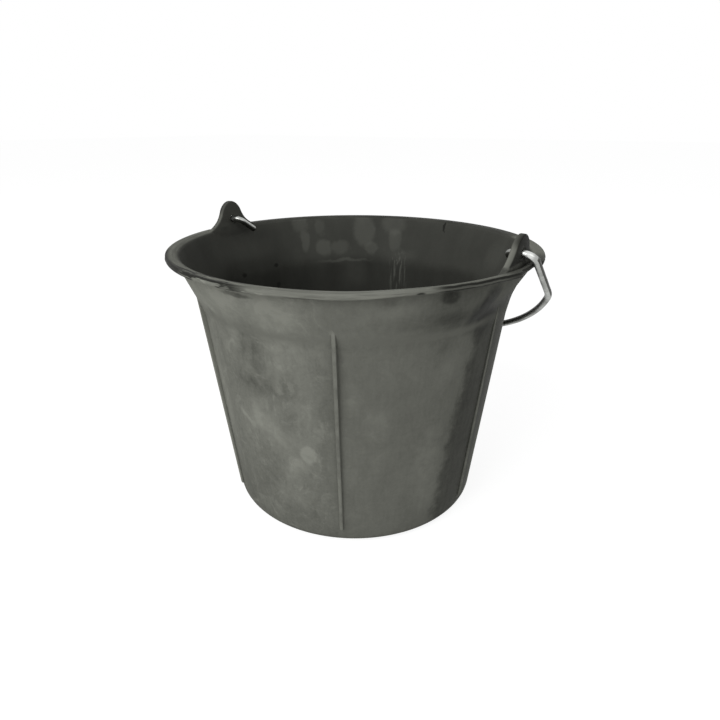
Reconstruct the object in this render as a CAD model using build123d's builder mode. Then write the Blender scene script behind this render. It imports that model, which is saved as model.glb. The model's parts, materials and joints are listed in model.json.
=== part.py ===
from build123d import *
from math import acos, atan, cos, degrees, radians, sin, tan
import os

# A moulded rubber bucket with a swinging wire bail.
# Millimetres. The origin is the middle of the underside, +Z is up and +X runs through an ear hole.

# Bucket wall, outside sizes
bucket_height = 240
base_radius = 118
base_rounding = 9
shoulder_radius = 139
shoulder_height = 193
shoulder_rounding = 30
rim_radius = 165
rim_overhang = 7.5
rim_depth = 4.5
rim_rounding = 1.2
lip_rounding = 2
under_rim_rounding = 2

# Thickness of the rubber
wall = 4.2
floor_thickness = 6
floor_rounding = 14

# Ribs on the outside of the wall
rib_count = 6
rib_turn = -2
rib_width = 3.3
rib_proud = 2.8
rib_bottom = 15.5
rib_rounding = 1.4

# Ears for the bail, placed by the middle of their thickness at the pivot
pivot_rise = 8.5
ear_crest = 15.5
ear_setback = 12
ear_lean = radians(2)
ear_thickness = 5.5
ear_tip_radius = 14.5
ear_side_angle = radians(25)
ear_foot_radius = 25
ear_foot_run = 1
ear_foot_sink = 1.5
ear_rounding = 1.2

# Wire bail, measured along its centreline
wire_diameter = 6
hole_clearance = 0.9
rim_clearance = 0.3
wall_clearance = 0.4
leg_bend_radius = 13
leg_length = 61
corner_angle = radians(20)
corner_radius = 10
hook_inset = 8.5
hook_bend_radius = 5
hook_length = 23
wire_end_rounding = 1

# The mouth keeps inside the rim, and the ears stand on the rim
mouth_radius = rim_radius - rim_overhang
pivot_height = bucket_height + pivot_rise
ear_top = pivot_height + ear_crest
ear_place = rim_radius - ear_setback

# Sloping lines of the wall and of the flared mouth
rim_underside = bucket_height - rim_depth
wall_taper = atan((shoulder_radius - base_radius) / shoulder_height)
flare_angle = atan((mouth_radius - shoulder_radius) / (rim_underside - shoulder_height))
flare_turn = tan(flare_angle) - tan(wall_taper)
wall_across = wall / cos(wall_taper)
flare_across = wall / cos(flare_angle)
inner_shoulder_height = shoulder_height + (flare_across - wall_across) / flare_turn


def wall_outside(z):
    """Outside radius of the tapered wall at a height."""
    return base_radius + z * tan(wall_taper)


def flare_outside(z):
    """Outside radius of the flared mouth at a height."""
    return shoulder_radius + (z - shoulder_height) * tan(flare_angle)


def corner_at(sketch, *point):
    """The corner of a sketch that stands at a point."""
    return sketch.vertices().sort_by_distance(point)[0]


# One rib: a bar that keeps to the wall's slope and sinks into the flare
rib_root = wall_across / 2
rib_top = shoulder_height + (rib_proud + rib_root) / flare_turn

with BuildPart() as rib:
    with BuildSketch(Plane.XZ):
        with BuildLine():
            Polyline(
                (wall_outside(rib_bottom) - rib_root, rib_bottom),
                (wall_outside(rib_bottom) + rib_proud, rib_bottom),
                (wall_outside(rib_top) + rib_proud, rib_top),
                (shoulder_radius - rib_root, shoulder_height),
                close=True,
            )
        make_face()
    extrude(amount=rib_width / 2, both=True)
    rib_ridge = max(rib.faces(), key=lambda face: face.normal_at().X)
    fillet(rib_ridge.edges(), radius=rib_rounding)

# One ear: a flat plate that leans outward, with a round top and a hole for the wire.
# Its outline is measured along the plate from the pivot. Its feet sink into the rim, and its root
# stops inside the flare's rubber.
ear_plane = Plane(
    origin=(ear_place, 0, pivot_height),
    x_dir=(0, 1, 0),
    z_dir=(cos(ear_lean), 0, -sin(ear_lean)),
)
ear_rise = (ear_top - pivot_height) / cos(ear_lean)
foot_level = (bucket_height - ear_foot_sink - pivot_height) / cos(ear_lean)
root_level = (shoulder_height - pivot_height) / cos(ear_lean)
ear_apex = ear_rise - ear_tip_radius + ear_tip_radius / sin(ear_side_angle)
ear_half_width = (ear_apex - foot_level) * tan(ear_side_angle)
ear_foot = ear_half_width + ear_foot_radius * tan((radians(90) - ear_side_angle) / 2) + ear_foot_run
ear_hole_radius = wire_diameter / 2 + hole_clearance
flare_middle = flare_across / 2

with BuildPart() as ear:
    with BuildSketch(ear_plane) as ear_outline:
        with BuildLine():
            Polyline(
                (-ear_foot, root_level),
                (-ear_foot, foot_level),
                (-ear_half_width, foot_level),
                (0, ear_apex),
                (ear_half_width, foot_level),
                (ear_foot, foot_level),
                (ear_foot, root_level),
                close=True,
            )
        make_face()
        fillet(corner_at(ear_outline, 0, ear_apex), radius=ear_tip_radius)
        for side in (-1, 1):
            fillet(corner_at(ear_outline, side * ear_half_width, foot_level), radius=ear_foot_radius)
    extrude(amount=ear_thickness / 2, both=True)
    with BuildSketch(Plane.YZ):
        with Locations((0, pivot_height)):
            Circle(ear_hole_radius)
    extrude(amount=rim_radius, mode=Mode.SUBTRACT)
    plate_edges = ear.faces().filter_by(ear_plane).edges()
    fillet(plate_edges.filter_by_position(Axis.Z, rim_underside, ear_top), radius=ear_rounding)
    with BuildSketch(Plane.XZ):
        with BuildLine():
            Polyline(
                (0, shoulder_height),
                (shoulder_radius - flare_middle, shoulder_height),
                (flare_outside(bucket_height) - flare_middle, bucket_height),
                (rim_radius, bucket_height),
                (rim_radius, ear_top + ear_thickness),
                (0, ear_top + ear_thickness),
                close=True,
            )
        make_face()
    revolve(axis=Axis.Z, mode=Mode.INTERSECT)

# Bucket body: floor, wall, flared mouth, rim, ribs and ears in one moulding
mouth_inside = flare_outside(bucket_height) - flare_across
inner_shoulder_radius = wall_outside(inner_shoulder_height) - wall_across
floor_corner = wall_outside(floor_thickness) - wall_across

with BuildPart() as bucket_body:
    with BuildSketch(Plane.XZ) as section:
        with BuildLine():
            Polyline(
                (0, 0),
                (base_radius, 0),
                (shoulder_radius, shoulder_height),
                (mouth_radius, rim_underside),
                (rim_radius, rim_underside),
                (rim_radius, bucket_height),
                (mouth_inside, bucket_height),
                (inner_shoulder_radius, inner_shoulder_height),
                (floor_corner, floor_thickness),
                (0, floor_thickness),
                close=True,
            )
        make_face()
        fillet(corner_at(section, base_radius, 0), radius=base_rounding)
        fillet(corner_at(section, floor_corner, floor_thickness), radius=floor_rounding)
        fillet(corner_at(section, shoulder_radius, shoulder_height), radius=shoulder_rounding)
        fillet(
            corner_at(section, inner_shoulder_radius, inner_shoulder_height),
            radius=shoulder_rounding + wall,
        )
        fillet(corner_at(section, mouth_radius, rim_underside), radius=under_rim_rounding)
        fillet(corner_at(section, rim_radius, rim_underside), radius=rim_rounding)
        fillet(corner_at(section, rim_radius, bucket_height), radius=rim_rounding)
        fillet(corner_at(section, mouth_inside, bucket_height), radius=lip_rounding)
    revolve(axis=Axis.Z)
    with PolarLocations(0, rib_count, start_angle=rib_turn):
        add(rib.part)
    with PolarLocations(0, 2):
        add(ear.part)

# Bail handle: one planar wire, hooked through both ears, hanging until its crown meets the wall
wire_radius = wire_diameter / 2
leg_place = rim_radius + rim_clearance + wire_radius
hook_place = ear_place - ear_thickness / 2 - hook_inset
crown_start = leg_place - corner_radius * (1 - cos(corner_angle))
crown_radius = crown_start / cos(corner_angle)
bail_reach = leg_length + (corner_radius - crown_radius) * sin(corner_angle) + crown_radius
pivot_to_wall = wall_outside(pivot_height) * cos(wall_taper)
hang_angle = wall_taper + acos((pivot_to_wall + wire_radius + wall_clearance) / bail_reach)
bail_plane = Plane(
    origin=(0, 0, pivot_height),
    x_dir=(1, 0, 0),
    z_dir=(0, sin(hang_angle), cos(hang_angle)),
)

with BuildPart() as bail_handle:
    with BuildLine(bail_plane):
        hook = Line((hook_place, hook_length), (hook_place, hook_bend_radius))
        hook_bend = JernArc(hook @ 1, hook % 1, hook_bend_radius, 90)
        pivot = Line(hook_bend @ 1, (leg_place - leg_bend_radius, 0))
        leg_bend = JernArc(pivot @ 1, pivot % 1, leg_bend_radius, 90)
        leg = Line(leg_bend @ 1, (leg_place, leg_length))
        corner = JernArc(leg @ 1, leg % 1, corner_radius, degrees(corner_angle))
        JernArc(corner @ 1, corner % 1, crown_radius, 90 - degrees(corner_angle))
    with BuildSketch(Plane(origin=hook @ 0, z_dir=hook % 0)):
        Circle(wire_radius)
    sweep()
    wire_end = bail_handle.faces().sort_by_distance(hook @ 0)[0]
    fillet(wire_end.edges(), radius=wire_end_rounding)
    mirror(about=Plane.YZ)

os.makedirs("parts", exist_ok=True)
bucket_body.part.label = "bucket_body"
export_step(bucket_body.part, "parts/bucket_body.step")
bail_handle.part.label = "bail_handle"
export_step(bail_handle.part, "parts/bail_handle.step")
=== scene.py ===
"""The looks of a moulded rubber bucket with a wire bail, laid out as a Blender add-on.

Metres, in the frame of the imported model: the origin is the middle of the underside, +Z is up, +X runs
through an ear hole and the bail hangs towards +Y. Azimuths are degrees round +Z from +X.
"""

import json
from math import acos, atan, atan2, ceil, cos, hypot, pi, radians, sin, sqrt, tan

import bmesh
import bpy
from bpy.props import FloatProperty, FloatVectorProperty, IntProperty, PointerProperty
from mathutils import Matrix, Vector, noise


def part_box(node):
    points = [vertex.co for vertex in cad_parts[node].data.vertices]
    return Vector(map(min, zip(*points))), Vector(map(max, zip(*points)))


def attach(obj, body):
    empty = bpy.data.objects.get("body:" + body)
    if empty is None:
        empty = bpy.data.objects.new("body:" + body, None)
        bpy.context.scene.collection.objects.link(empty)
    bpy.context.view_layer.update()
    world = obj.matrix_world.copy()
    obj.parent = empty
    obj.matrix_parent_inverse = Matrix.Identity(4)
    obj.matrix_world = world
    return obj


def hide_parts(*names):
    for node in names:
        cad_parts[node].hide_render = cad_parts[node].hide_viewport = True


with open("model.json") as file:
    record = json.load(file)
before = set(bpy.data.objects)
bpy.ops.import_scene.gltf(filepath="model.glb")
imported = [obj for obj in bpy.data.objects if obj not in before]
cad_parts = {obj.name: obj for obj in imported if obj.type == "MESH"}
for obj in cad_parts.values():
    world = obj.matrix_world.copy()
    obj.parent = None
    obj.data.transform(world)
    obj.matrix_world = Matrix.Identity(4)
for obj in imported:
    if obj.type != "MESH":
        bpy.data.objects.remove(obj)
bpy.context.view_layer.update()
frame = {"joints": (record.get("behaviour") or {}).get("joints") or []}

bl_info = {
    "name": "Rubber bucket",
    "version": (1, 0, 0),
    "blender": (4, 5, 0),
    "location": "3D View > Sidebar > Bucket",
    "description": "Builds a moulded rubber bucket, its wire bail and a plain studio",
    "category": "Add Mesh",
}

BODY_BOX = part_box("bucket_body")
PIVOT = Vector(frame["joints"][0]["pos_m"])
MERGE = 1e-6
MM = 0.001

# How finely the meshes are made
BODY_STEPS = 240
BODY_LONGEST = 0.008
ENVELOPE_STEPS = 180
DRILL_STEPS = 40
EAR_STEP = radians(6)
WIRE_SIDES = 24
WIRE_STEP = radians(6)
SHARP_EDGE = radians(38)


def length(name, description, default):
    """A size in metres."""
    return FloatProperty(name=name, description=description, default=default, unit="LENGTH", precision=4)


def turn(name, description, default):
    """An angle, given here in degrees."""
    return FloatProperty(name=name, description=description, default=radians(default), subtype="ANGLE")


def share(name, description, default):
    """A share from 0 to 1."""
    return FloatProperty(name=name, description=description, default=default, min=0, max=1,
                         subtype="FACTOR")


def power(name, description, default):
    """The power of a lamp in watts."""
    return FloatProperty(name=name, description=description, default=default, unit="POWER")


def colour(name, description, default):
    """A linear colour."""
    return FloatVectorProperty(name=name, description=description, default=default, size=3, min=0, max=1,
                               subtype="COLOR")


class BucketSizes(bpy.types.PropertyGroup):
    """Sizes of the moulded body, its ribs and its ears."""

    base_radius: length("Base radius", "Outside radius of the wall, carried down to the floor", 0.118)
    base_rounding: length("Base rounding", "Rounding where the wall meets the underside", 0.009)
    shoulder_radius: length("Shoulder radius", "Outside radius where the flare begins", 0.139)
    shoulder_height: length("Shoulder height", "Height where the flare begins", 0.193)
    shoulder_rounding: length("Shoulder rounding", "Outside rounding between wall and flare", 0.03)
    rim_radius: length("Rim radius", "Outside radius of the rim", BODY_BOX[1].x)
    rim_overhang: length("Rim overhang", "How far the rim stands out past the flare", 0.0075)
    rim_depth: length("Rim depth", "Height of the rim's outer face", 0.0045)
    rim_drop: length("Rim drop", "How far the rim's top lies below the bail's pivot", 0.0085)
    rim_rounding: length("Rim rounding", "Rounding of the rim's outer edges", 0.0012)
    lip_rounding: length("Lip rounding", "Rounding of the rim's inner lip", 0.0055)
    under_rounding: length("Under rounding", "Rounding of the corner under the rim", 0.002)
    flash_depth: length("Flash depth", "Height of the moulding line round the rim", 0.0009)
    flash_proud: length("Flash", "How far the moulding line stands out of the rim", 0.0004)
    wall: length("Wall", "Thickness of the rubber", 0.0042)
    floor_thickness: length("Floor", "Thickness of the floor", 0.006)
    floor_rounding: length("Floor rounding", "Rounding where the wall meets the floor inside", 0.014)
    rib_count: IntProperty(name="Ribs", description="Ribs round the outside", default=6, min=1)
    rib_turn: turn("Rib turn", "Azimuth of the first rib", -2)
    rib_slant: turn("Rib slant", "How far a rib turns round the wall on its way up to the shoulder", -0.55)
    rib_width: length("Rib width", "Width of a rib", 0.0031)
    rib_proud: length("Rib height", "How far a rib stands out of the wall at its foot", 0.0025)
    rib_gain: length("Rib gain", "How much further a rib stands out at its top", 0.0018)
    rib_bottom: length("Rib foot", "Height of a rib's lower end", 0.0155)
    rib_rounding: length("Rib rounding", "Rounding along a rib's ridge", 0.0015)
    ear_setback: length("Ear setback", "From the rim's outside in to an ear's middle at the pivot", 0.012)
    ear_crest: length("Ear crest", "Height of an ear's top over the pivot", 0.0151)
    ear_stretch: share("Ear stretch", "How much taller the ear on the -X side is over the pivot", 0.16)
    ear_lean: turn("Ear lean", "How far the ears lean outward", 2)
    ear_shift: length("Ear shift", "How far both ears stand off to one side", -0.0019)
    ear_thickness: length("Ear thickness", "Thickness of an ear", 0.0055)
    ear_tip_radius: length("Ear tip", "Radius of an ear's round top", 0.014)
    ear_side: turn("Ear side", "Slope of an ear's sides", 25)
    ear_foot_radius: length("Ear foot", "Radius where an ear runs out into the rim", 0.0285)
    ear_foot_run: length("Ear foot run", "Straight end of an ear's foot", 0.003)
    ear_foot_sink: length("Ear foot sink", "How deep the feet lie in the rim", 0.0015)
    ear_hole: length("Ear hole", "Radius of the hole for the wire, at its inner end", 0.0035)
    hole_wear: length("Hole wear", "How much wider the wire has worn a hole just outside its ear", 0.002)
    ear_rounding: length("Ear rounding", "Rounding of an ear's edges", 0.0012)
    roll_azimuth: turn("Roll azimuth", "Middle of the stretch where the rim has rolled inward", -30)
    roll_spread: turn("Roll spread", "Half the width of the rolled stretch", 30)
    roll_turn: turn("Roll", "How far the rim has rolled inward there", 14)
    dent_depth: length("Dent depth", "How far the bail's legs have pressed the rim in", 0.0051)
    dent_width: length("Dent width", "Half the width of the rim that they have pressed in", 0.024)
    dent_floor: length("Dent floor", "Half the width of the part that is pressed in fully", 0.015)
    pull_depth: length("Pull depth", "How far the ears have drawn the flare in under them", 0.0036)
    pull_width: length("Pull width", "Half the width of the flare that is drawn in", 0.06)

    @property
    def bucket_height(self):
        return PIVOT.z - self.rim_drop

    @property
    def rim_underside(self):
        return self.bucket_height - self.rim_depth

    @property
    def mouth_radius(self):
        return self.flare_outside(self.bucket_height) - self.across(self.flare_slope)

    @property
    def wall_slope(self):
        return (self.shoulder_radius - self.base_radius) / self.shoulder_height

    @property
    def flare_slope(self):
        flare_height = self.rim_underside - self.shoulder_height
        return (self.rim_radius - self.rim_overhang - self.shoulder_radius) / flare_height

    @property
    def flare_turn(self):
        return self.flare_slope - self.wall_slope

    def wall_outside(self, z):
        return self.base_radius + z * self.wall_slope

    def flare_outside(self, z):
        return self.shoulder_radius + (z - self.shoulder_height) * self.flare_slope

    def across(self, slope):
        """Thickness of the rubber, measured level through a sloping wall."""
        return self.wall * sqrt(1 + slope * slope)

    def ear_middle(self, z):
        """Distance of an ear's mid-thickness from the bucket's middle plane."""
        return self.rim_radius - self.ear_setback + (z - PIVOT.z) * tan(self.ear_lean)


class BailSizes(bpy.types.PropertyGroup):
    """Sizes of the bent wire, along its middle line."""

    wire_radius: length("Wire radius", "Half the wire's thickness", 0.003)
    wall_clearance: length("Wall clearance", "Room between the wall and the hanging wire", 0.0004)
    leg_bend: length("Leg bend", "Radius of the bend outside an ear", 0.0098)
    leg_splay: turn("Leg splay", "How far the legs spread outward", 3)
    leg_run: length("Leg", "Straight run of a leg", 0.0476)
    corner_turn: turn("Corner", "Slope of the round crown where it begins", 20.3)
    corner_bend: length("Corner bend", "Radius of the bend between leg and crown", 0.028)
    hook_inset: length("Hook inset", "From an ear's inner face to the hook's middle", 0.0085)
    hook_bend: length("Hook bend", "Radius of the bend inside an ear", 0.005)
    hook_length: length("Hook", "From the pivot to the hook's end", 0.023)
    hook_twist: turn("Hook twist", "How far the hooks are twisted up out of the bail's plane", 9)
    end_rounding: length("End rounding", "Rounding of the wire's cut ends", 0.0008)


class RubberLook(bpy.types.PropertyGroup):
    """Colours and wear of the rubber."""

    clean: colour("Clean rubber", "Rubber with no bloom on it", (0.022, 0.0224, 0.0196))
    bloom: colour("Bloom", "Chalky grey that ages the outside", (0.241, 0.246, 0.216))
    outside: share("Outside bloom", "How much of the outside the bloom hides", 0.555)
    inside: share("Inside bloom", "How much of the inside the bloom hides", 0.075)
    # The ribs' own colour: worn bloom along with painted light on their flanks
    rib_bloom_and_light: share("Rib bloom", "How much of the ribs the bloom hides", 0.6)
    cloudiness: share("Cloudiness", "How uneven the bloom is", 0.6)
    edge_wear: share("Edge wear", "How pale the worn edges are", 0.3)


class WireLook(bpy.types.PropertyGroup):
    """Colours of the wire."""

    zinc: colour("Zinc", "Dull galvanised wire", (0.46, 0.47, 0.45))
    tarnish: colour("Tarnish", "Darker, older zinc", (0.17, 0.175, 0.16))
    # Zinc rubbed bright, along with a painted highlight, where the wire turns outside an ear
    polish_and_highlight: colour("Polish", "Zinc rubbed bright where it turns in an ear", (0.74, 0.75, 0.73))
    # The colour of the painted dark reflections along the leg's outer side, the crown's inner side and the
    # hooks' undersides
    dark_reflection: colour("Stain", "Dirt along the sheltered side of the wire", (0.05, 0.051, 0.044))
    roughness: share("Roughness", "Roughness of the zinc", 0.3)


class StageLook(bpy.types.PropertyGroup):
    """Camera and studio light."""

    azimuth: turn("Azimuth", "Where the camera stands, round +Z from -Y", 33.5)
    distance: length("Distance", "From the bucket's middle line to the camera", 0.5093)
    height: length("Height", "Height of the camera over the floor", 0.3413)
    pitch: turn("Pitch", "How far the camera looks down", 23.07)
    lens: FloatProperty(name="Lens", description="Focal length", default=28.0, unit="CAMERA")
    shift: FloatProperty(name="Shift", description="Sideways shift of the frame", default=0.0069)
    ambient: FloatProperty(name="Ambient", description="Light from all round", default=0.46, min=0)
    key: power("Key light", "Power of the large soft lamp", 34.0)
    fill: power("Fill light", "Power of the weak lamp", 5.0)
    floor: colour("Floor", "Pale floor", (0.72, 0.72, 0.71))


# Shapes


def rounded_wire(corners, closed=False, step=radians(12)):
    """A wire through corners of (across, up, rounding), each corner rounded by a vertex bevel."""
    bm = bmesh.new()
    verts = [bm.verts.new((across, 0, up)) for across, up, rounding in corners]
    count = len(verts)
    for index in range(count if closed else count - 1):
        bm.edges.new((verts[index], verts[(index + 1) % count]))
    places = [vert.co.copy() for vert in verts]
    for index, (across, up, rounding) in enumerate(corners):
        if not rounding:
            continue
        before = places[index] - places[index - 1]
        after = places[(index + 1) % count] - places[index]
        bend = before.angle(after)
        bmesh.ops.bevel(bm, geom=[verts[index]], offset=rounding * tan(bend / 2), offset_type="OFFSET",
                        affect="VERTICES", segments=max(2, ceil(bend / step)), profile=0.5, material=-1)
    bmesh.ops.remove_doubles(bm, verts=bm.verts[:], dist=MERGE)
    return bm


def divide_runs(bm, longest):
    """Divides the edges that are longer than a length into equal parts."""
    for edge in bm.edges[:]:
        cuts = ceil(edge.calc_length() / longest) - 1
        if cuts > 0:
            bmesh.ops.subdivide_edges(bm, edges=[edge], cuts=cuts)


def turned(bm, steps):
    """Spins a half section once round Z, closes its poles and points its faces outward."""
    bmesh.ops.spin(bm, geom=bm.verts[:] + bm.edges[:], cent=(0, 0, 0), axis=(0, 0, 1), dvec=(0, 0, 0),
                   angle=2 * pi, steps=steps, use_merge=True)
    tidy(bm)


def tidy(bm):
    """Merges doubles and points the faces outward."""
    bmesh.ops.remove_doubles(bm, verts=bm.verts[:], dist=MERGE)
    bmesh.ops.dissolve_degenerate(bm, edges=bm.edges[:], dist=MERGE)
    bmesh.ops.recalc_face_normals(bm, faces=bm.faces[:])


def copies_round(bm, count):
    """Repeats the shape round Z, so that there are count of it in all."""
    bmesh.ops.spin(bm, geom=bm.verts[:] + bm.edges[:] + bm.faces[:], cent=(0, 0, 0), axis=(0, 0, 1),
                   dvec=(0, 0, 0), angle=2 * pi * (count - 1) / count, steps=count - 1, use_duplicate=True)


def thing(name, bm):
    """An object with the bmesh as its mesh."""
    mesh = bpy.data.meshes.new(name)
    bm.to_mesh(mesh)
    bm.free()
    made = bpy.data.objects.new(name, mesh)
    bpy.context.scene.collection.objects.link(made)
    return made


def combine(target, operation, tool):
    """Adds a Boolean modifier."""
    modifier = target.modifiers.new(operation.title(), "BOOLEAN")
    modifier.operation = operation
    modifier.solver = "EXACT"
    modifier.object = tool


def applied(made, tools):
    """Applies an object's modifiers, then removes the objects that they used."""
    bpy.context.view_layer.update()
    finished = bpy.data.meshes.new_from_object(made.evaluated_get(bpy.context.evaluated_depsgraph_get()))
    made.modifiers.clear()
    made.data = finished
    for tool in tools:
        bpy.data.objects.remove(tool)


def body_section(sizes):
    """Half section of the bucket, from the middle of the underside round to the middle of the floor."""
    top = sizes.bucket_height
    middle = top - sizes.rim_depth / 2
    flash = sizes.flash_depth / 2
    floor = sizes.floor_thickness
    wall_across = sizes.across(sizes.wall_slope)
    flare_across = sizes.across(sizes.flare_slope)
    bend_height = sizes.shoulder_height + (flare_across - wall_across) / sizes.flare_turn
    corners = [
        (0, 0, 0),
        (sizes.base_radius, 0, sizes.base_rounding),
        (sizes.shoulder_radius, sizes.shoulder_height, sizes.shoulder_rounding),
        (sizes.flare_outside(sizes.rim_underside), sizes.rim_underside, sizes.under_rounding),
        (sizes.rim_radius, sizes.rim_underside, sizes.rim_rounding),
        (sizes.rim_radius, middle - flash, 0),
        (sizes.rim_radius + sizes.flash_proud, middle, 0),
        (sizes.rim_radius, middle + flash, 0),
        (sizes.rim_radius, top, sizes.rim_rounding),
        (sizes.mouth_radius, top, sizes.lip_rounding),
        (sizes.wall_outside(bend_height) - wall_across, bend_height, sizes.shoulder_rounding + sizes.wall),
        (sizes.wall_outside(floor) - wall_across, floor, sizes.floor_rounding),
        (0, floor, 0),
    ]
    return rounded_wire(corners)


def ribs(sizes):
    """Ribs that keep to the wall's slope and sink into the flare."""
    root = sizes.across(sizes.wall_slope) / 2
    ridge_top = sizes.rib_proud + sizes.rib_gain
    top = sizes.shoulder_height + (ridge_top + root) / sizes.flare_turn
    bottom = sizes.wall_outside(sizes.rib_bottom)
    bm = rounded_wire([
        (bottom - root, sizes.rib_bottom, 0),
        (bottom + sizes.rib_proud, sizes.rib_bottom, 0),
        (sizes.wall_outside(top) + ridge_top, top, 0),
        (sizes.shoulder_radius - root, sizes.shoulder_height, 0),
    ], closed=True)
    thicken(bm, sizes.rib_width)
    ridge = max(bm.faces, key=lambda face: face.normal.x)
    round_face(bm, ridge, sizes.rib_rounding, segments=5)
    for vert in bm.verts:
        slant = sizes.rib_slant * vert.co.z / sizes.shoulder_height
        vert.co.rotate(Matrix.Rotation(sizes.rib_turn + slant, 3, "Z"))
    copies_round(bm, sizes.rib_count)
    return thing("rib_bars", bm)


def only(kind, parts):
    """The vertices, edges or faces among the parts that an operator gives back."""
    return [part for part in parts if isinstance(part, kind)]


def thicken(bm, thickness):
    """Fills a closed outline in XZ and gives it a thickness, half to each side."""
    bmesh.ops.contextual_create(bm, geom=bm.edges[:])
    bmesh.ops.translate(bm, verts=bm.verts[:], vec=(0, -thickness / 2, 0))
    grown = bmesh.ops.extrude_face_region(bm, geom=bm.faces[:])["geom"]
    bmesh.ops.translate(bm, verts=only(bmesh.types.BMVert, grown), vec=(0, thickness, 0))
    tidy(bm)


def round_face(bm, face, radius, segments):
    """Rounds the edges of a face."""
    bmesh.ops.bevel(bm, geom=face.edges[:] + face.verts[:], offset=radius, offset_type="OFFSET",
                    affect="EDGES", segments=segments, profile=0.5, material=-1)


def ear_plates(sizes):
    """Both ears as leaning plates, with a round top and feet that run out into the rim."""
    upright = cos(sizes.ear_lean)
    rise = sizes.ear_crest / upright
    foot = (sizes.bucket_height - sizes.ear_foot_sink - PIVOT.z) / upright
    root = (sizes.shoulder_height - PIVOT.z) / upright
    half_bend = (pi / 2 - sizes.ear_side) / 2
    tip_width = sizes.ear_tip_radius * tan(half_bend)
    half_width = tip_width + (rise - foot) * tan(sizes.ear_side)
    foot_end = half_width + sizes.ear_foot_radius * tan(half_bend) + sizes.ear_foot_run
    right = [
        (tip_width, rise, sizes.ear_tip_radius),
        (half_width, foot, sizes.ear_foot_radius),
        (foot_end, foot, 0),
        (foot_end, root, 0),
    ]
    left = [(-across, up, rounding) for across, up, rounding in reversed(right)]
    bm = rounded_wire(left + right, closed=True, step=EAR_STEP)
    thicken(bm, sizes.ear_thickness)
    lean = Matrix.Rotation(sizes.ear_lean, 4, "Y") @ Matrix.Rotation(pi / 2, 4, "Z")
    place = Matrix.Translation((sizes.ear_middle(PIVOT.z), 0, PIVOT.z))
    bmesh.ops.transform(bm, verts=bm.verts[:], matrix=place @ lean)
    copies_round(bm, 2)
    for vert in bm.verts:
        if vert.co.x < 0 and vert.co.z > PIVOT.z:
            vert.co.z += sizes.ear_stretch * (vert.co.z - PIVOT.z)
    bmesh.ops.translate(bm, verts=bm.verts[:], vec=(sizes.ear_shift, 0, 0))
    return thing("ear_plates", bm)


def hole_drill(sizes):
    """A turned drill along the pivot: tight as far as the middle of each ear, and worn wider outside it."""
    worn = sizes.ear_hole + sizes.hole_wear
    middle = sizes.ear_middle(PIVOT.z)
    beyond = 2 * sizes.rim_radius
    upper = [
        (sizes.ear_hole, middle, 0),
        (worn, middle + sizes.ear_thickness, 0),
        (worn, beyond, 0),
        (0, beyond, 0),
    ]
    lower = [(across, -up, rounding) for across, up, rounding in reversed(upper)]
    bm = rounded_wire(lower + upper)
    turned(bm, DRILL_STEPS)
    bmesh.ops.rotate(bm, verts=bm.verts[:], cent=(0, 0, 0), matrix=Matrix.Rotation(pi / 2, 3, "Y"))
    bmesh.ops.translate(bm, verts=bm.verts[:], vec=PIVOT + Vector((sizes.ear_shift, 0, 0)))
    return thing("hole_drill", bm)


def ear_envelope(sizes):
    """A turned space that ends halfway through the flare's rubber, for the ears to keep within."""
    flare_middle = sizes.across(sizes.flare_slope) / 2
    over = PIVOT.z + 2 * sizes.ear_crest
    bm = rounded_wire([
        (0, sizes.shoulder_height, 0),
        (sizes.shoulder_radius - flare_middle, sizes.shoulder_height, 0),
        (sizes.flare_outside(sizes.bucket_height) - flare_middle, sizes.bucket_height, 0),
        (sizes.rim_radius, sizes.bucket_height, 0),
        (sizes.rim_radius, over, 0),
        (0, over, 0),
    ])
    turned(bm, ENVELOPE_STEPS)
    return thing("ear_envelope", bm)


def ears(sizes):
    """Both ears, drilled, with rounded edges, and cut off inside the flare's rubber."""
    plates = ear_plates(sizes)
    drill = hole_drill(sizes)
    envelope = ear_envelope(sizes)
    combine(plates, "DIFFERENCE", drill)
    rounding = plates.modifiers.new("Rounded edges", "BEVEL")
    rounding.width = sizes.ear_rounding
    rounding.segments = 4
    rounding.limit_method = "ANGLE"
    rounding.angle_limit = radians(40)
    rounding.use_clamp_overlap = False
    combine(plates, "INTERSECT", envelope)
    applied(plates, [drill, envelope])
    return plates


def smooth_step(low, high, value):
    """0 below low, 1 above high, and a smooth change between."""
    level = min(1, max(0, (value - low) / (high - low)))
    return level * level * (3 - 2 * level)


def roll_rim(bm, sizes, full=0.35):
    """Rolls a stretch of the soft rim inward, about a line near the top of the flare.

    The middle of the stretch, as far as the share full of its half width, is rolled all the way.
    """
    hinge_height = sizes.rim_underside - sizes.rim_depth
    hinge_radius = sizes.flare_outside(hinge_height)
    for vert in bm.verts:
        radius = hypot(vert.co.x, vert.co.y)
        azimuth = atan2(vert.co.y, vert.co.x)
        away = abs(azimuth - sizes.roll_azimuth) / sizes.roll_spread
        level = smooth_step(sizes.shoulder_height, sizes.rim_underside, vert.co.z)
        amount = smooth_step(1, full, away) * level
        if amount <= 0:
            continue
        bend = -sizes.roll_turn * amount
        outward = radius - hinge_radius
        up = vert.co.z - hinge_height
        reach = hinge_radius + outward * cos(bend) + up * sin(bend)
        vert.co.x *= reach / radius
        vert.co.y *= reach / radius
        vert.co.z = hinge_height - outward * sin(bend) + up * cos(bend)


def draw_in(vert, inward):
    """Moves a vertex towards the bucket's middle line."""
    radius = hypot(vert.co.x, vert.co.y)
    if radius:
        vert.co.x *= 1 - inward / radius
        vert.co.y *= 1 - inward / radius


def overhang(vert, sizes):
    """0 as far out as the flare goes, and 1 at the rim's outer face."""
    radius = hypot(vert.co.x, vert.co.y)
    return smooth_step(sizes.rim_radius - sizes.rim_overhang, sizes.rim_radius, radius)


def dent_rim(bm, sizes):
    """Presses the rim's overhang in beside the ears, where the bail's legs hang."""
    for vert in bm.verts:
        beside = smooth_step(sizes.dent_width, sizes.dent_floor, abs(vert.co.y))
        draw_in(vert, sizes.dent_depth * overhang(vert, sizes) * beside)


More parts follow.
